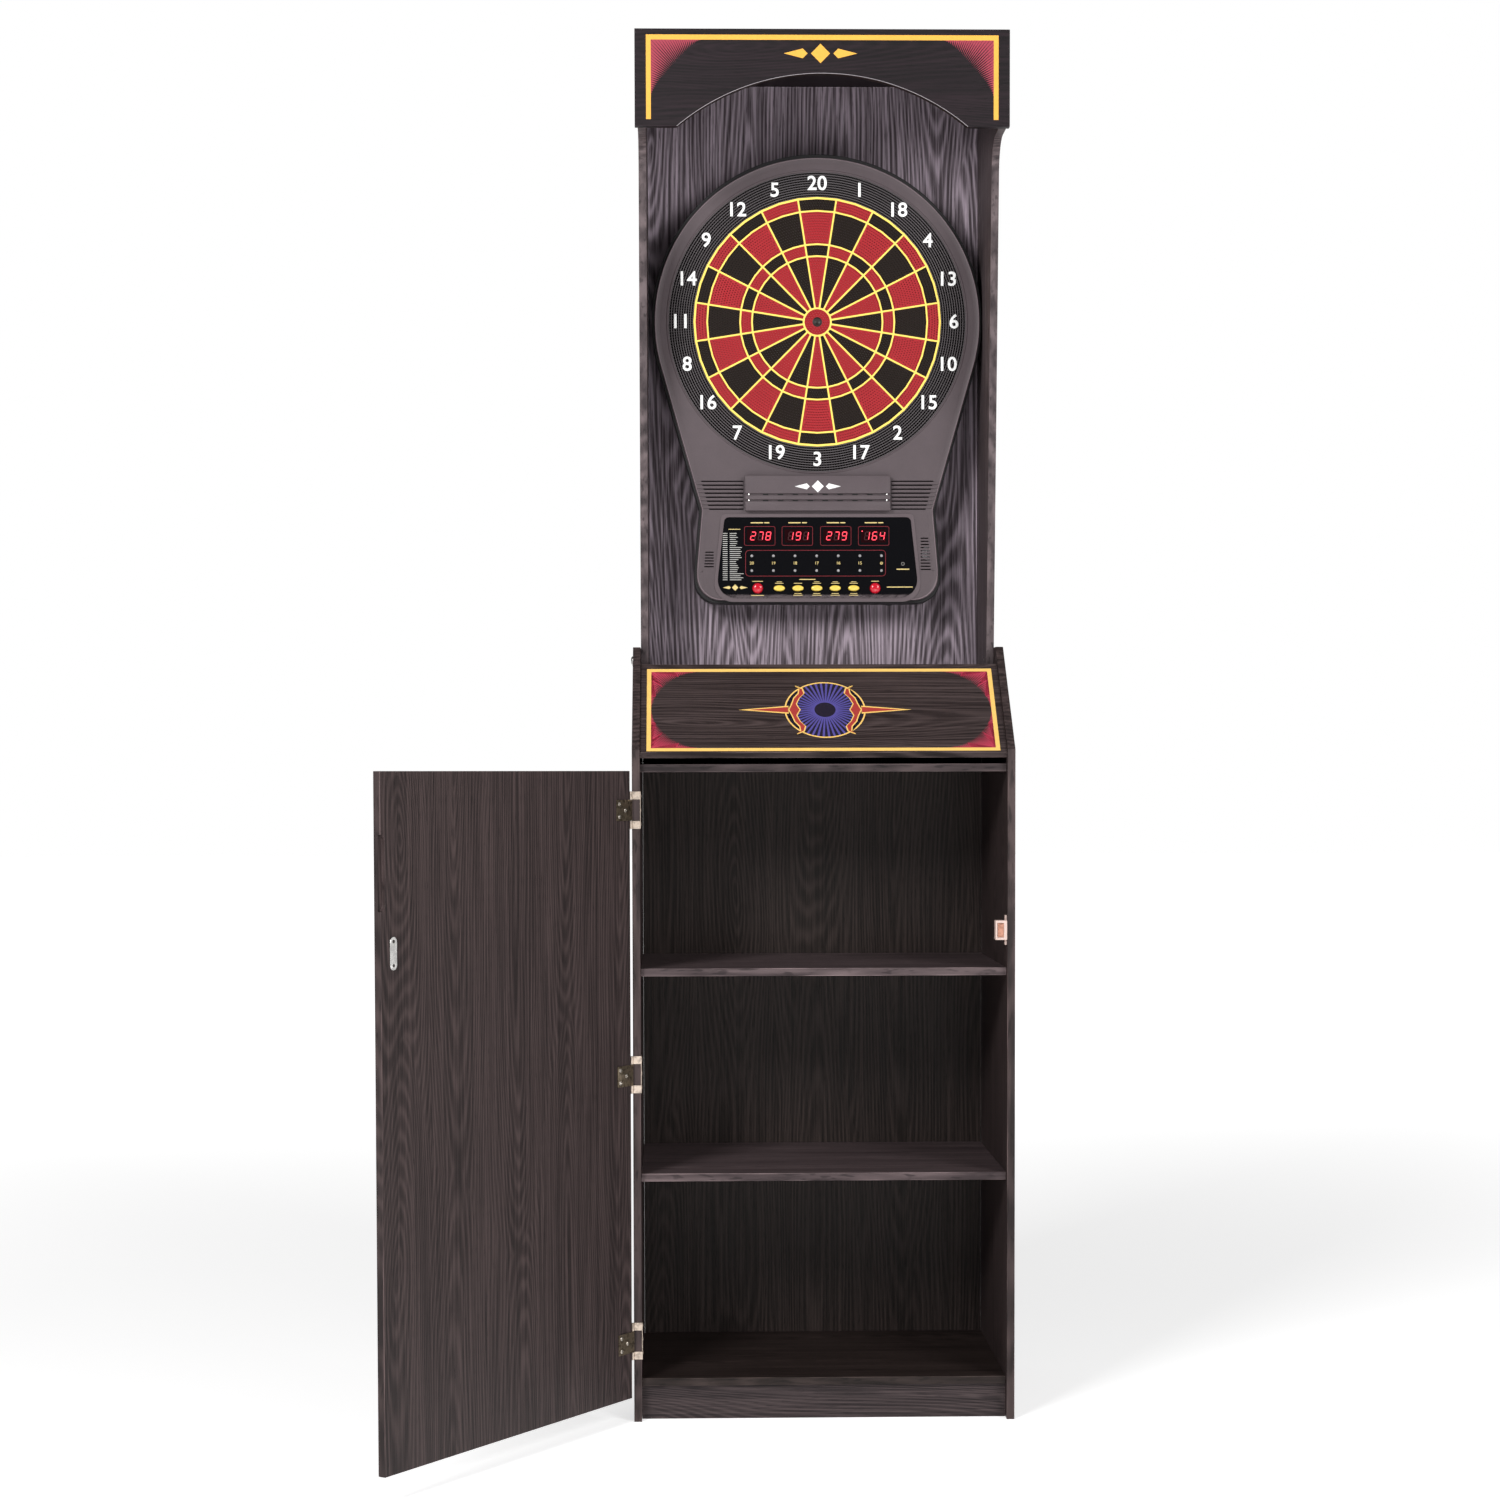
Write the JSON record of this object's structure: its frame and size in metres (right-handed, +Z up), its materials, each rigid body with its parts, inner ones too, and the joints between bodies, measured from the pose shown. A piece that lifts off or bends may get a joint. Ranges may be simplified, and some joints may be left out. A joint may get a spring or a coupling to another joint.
{
  "type": "electronic dartboard",
  "caption": "Floor-standing cabinet with an electronic soft-tip dartboard, number ring, score console with push buttons, arched header, sloping console and hinged cupboard door over shelves.",
  "frame": {"origin": "middle of the underside of the kick board, on the floor and on the cabinet's centre plane", "axes": "+Z up, +Y back towards the wall, +X to the right as a player sees it; the door is open at rest"},
  "size_m": [0.9344, 0.8779, 2.131],
  "materials": {
    "black_ash": "black ash woodgrain laminate on board, satin",
    "grey_ash": "grey ash woodgrain laminate on board, satin",
    "hinge_metal": "antique brass plate, worn satin",
    "bolt_steel": "zinc-plated steel",
    "strike_steel": "zinc-plated steel strip",
    "catch_plastic": "pale moulded plastic",
    "magnet": "ferrite magnet between steel pole plates",
    "housing_plastic": "dark grey moulded plastic, fine spark texture",
    "black_plastic": "black moulded plastic",
    "spider_yellow": "yellow moulded plastic",
    "segment_plastic": "red and black perforated plastic",
    "bull_red": "red perforated plastic",
    "bull_black": "black perforated plastic",
    "button_red": "red moulded plastic, glossy",
    "button_yellow": "yellow moulded plastic, satin gloss",
    "window_gloss": "black printed acrylic, high gloss",
    "led_module": "dark red filter, glossy",
    "circuit_board": "green solder mask",
    "membrane": "printed polyester sheet",
    "foam": "closed-cell foam",
    "speaker_metal": "pressed steel basket"
  },
  "bodies": {
    "cabinet": {"back_panel": "black_ash", "base_panel": "black_ash", "bolt_left_front": "bolt_steel", "bolt_left_rear": "bolt_steel", "bolt_right_front": "bolt_steel", "bolt_right_rear": "bolt_steel", "catch_body": "catch_plastic", "catch_magnet": "magnet", "ceiling_panel": "black_ash", "circuit_board": "circuit_board", "console_panel": "black_ash", "dart_holder": "housing_plastic", "dartboard_panel": "grey_ash", "dc_inlet": "black_plastic", "deck_panel": "black_ash", "display_window": "window_gloss", "foam_pad": "foam", "front_housing": "housing_plastic", "header_panel": "black_ash", "hinge_pin_lower": "hinge_metal", "hinge_pin_middle": "hinge_metal", "hinge_pin_upper": "hinge_metal", "hinge_plate_lower": "hinge_metal", "hinge_plate_middle": "hinge_metal", "hinge_plate_upper": "hinge_metal", "kick_board": "black_ash", "led_display_1": "led_module", "led_display_2": "led_module", "led_display_3": "led_module", "led_display_4": "led_module", "number_ring": "black_plastic", "rear_housing": "black_plastic", "sensor_membrane": "membrane", "shelf_lower": "black_ash", "shelf_upper": "black_ash", "side_panel_left": "black_ash", "side_panel_right": "black_ash", "speaker": "speaker_metal", "spider_grid": "spider_yellow", "top_panel": "black_ash", "upper_side_left": "black_ash", "upper_side_right": "black_ash"},
    "door": {"door_panel": "black_ash", "strike_plate": "strike_steel", "hinge_leaf_lower": "hinge_metal", "hinge_leaf_middle": "hinge_metal", "hinge_leaf_upper": "hinge_metal"},
    "inner_singles": {"inner_single_segments": "segment_plastic"},
    "triples": {"triple_segments": "segment_plastic"},
    "outer_singles": {"outer_single_segments": "segment_plastic"},
    "doubles": {"double_segments": "segment_plastic"},
    "outer_bull": {"single_bull": "bull_red"},
    "inner_bull": {"double_bull": "bull_black"},
    "red_button_1": {"red_button_1": "button_red"},
    "red_button_2": {"red_button_2": "button_red"},
    "yellow_button_1": {"yellow_button_1": "button_yellow"},
    "yellow_button_2": {"yellow_button_2": "button_yellow"},
    "yellow_button_3": {"yellow_button_3": "button_yellow"},
    "yellow_button_4": {"yellow_button_4": "button_yellow"},
    "yellow_button_5": {"yellow_button_5": "button_yellow"}
  },
  "joints": [
    {"name": "door_hinge", "type": "hinge", "parent": "cabinet", "child": "door", "pos_m": [-0.2958, -0.0298, 0.5215], "axis": [0, 0, 1], "range_deg": [-45, 124.5]},
    {"name": "inner_singles_press", "type": "slide", "parent": "cabinet", "child": "inner_singles", "axis": [0, 1, 0], "range_m": [0, 0.0012], "stiffness_N_per_m": 1500},
    {"name": "triples_press", "type": "slide", "parent": "cabinet", "child": "triples", "axis": [0, 1, 0], "range_m": [0, 0.0012], "stiffness_N_per_m": 1500},
    {"name": "outer_singles_press", "type": "slide", "parent": "cabinet", "child": "outer_singles", "axis": [0, 1, 0], "range_m": [0, 0.0012], "stiffness_N_per_m": 1500},
    {"name": "doubles_press", "type": "slide", "parent": "cabinet", "child": "doubles", "axis": [0, 1, 0], "range_m": [0, 0.0012], "stiffness_N_per_m": 1500},
    {"name": "outer_bull_press", "type": "slide", "parent": "cabinet", "child": "outer_bull", "axis": [0, 1, 0], "range_m": [0, 0.0012], "stiffness_N_per_m": 600},
    {"name": "inner_bull_press", "type": "slide", "parent": "cabinet", "child": "inner_bull", "axis": [0, 1, 0], "range_m": [0, 0.0012], "stiffness_N_per_m": 600},
    {"name": "red_button_1_press", "type": "slide", "parent": "cabinet", "child": "red_button_1", "axis": [0, 1, 0], "range_m": [0, 0.0015], "stiffness_N_per_m": 300},
    {"name": "red_button_2_press", "type": "slide", "parent": "cabinet", "child": "red_button_2", "axis": [0, 1, 0], "range_m": [0, 0.0015], "stiffness_N_per_m": 300},
    {"name": "yellow_button_1_press", "type": "slide", "parent": "cabinet", "child": "yellow_button_1", "axis": [0, 1, 0], "range_m": [0, 0.0015], "stiffness_N_per_m": 300},
    {"name": "yellow_button_2_press", "type": "slide", "parent": "cabinet", "child": "yellow_button_2", "axis": [0, 1, 0], "range_m": [0, 0.0015], "stiffness_N_per_m": 300},
    {"name": "yellow_button_3_press", "type": "slide", "parent": "cabinet", "child": "yellow_button_3", "axis": [0, 1, 0], "range_m": [0, 0.0015], "stiffness_N_per_m": 300},
    {"name": "yellow_button_4_press", "type": "slide", "parent": "cabinet", "child": "yellow_button_4", "axis": [0, 1, 0], "range_m": [0, 0.0015], "stiffness_N_per_m": 300},
    {"name": "yellow_button_5_press", "type": "slide", "parent": "cabinet", "child": "yellow_button_5", "axis": [0, 1, 0], "range_m": [0, 0.0015], "stiffness_N_per_m": 300}
  ]
}
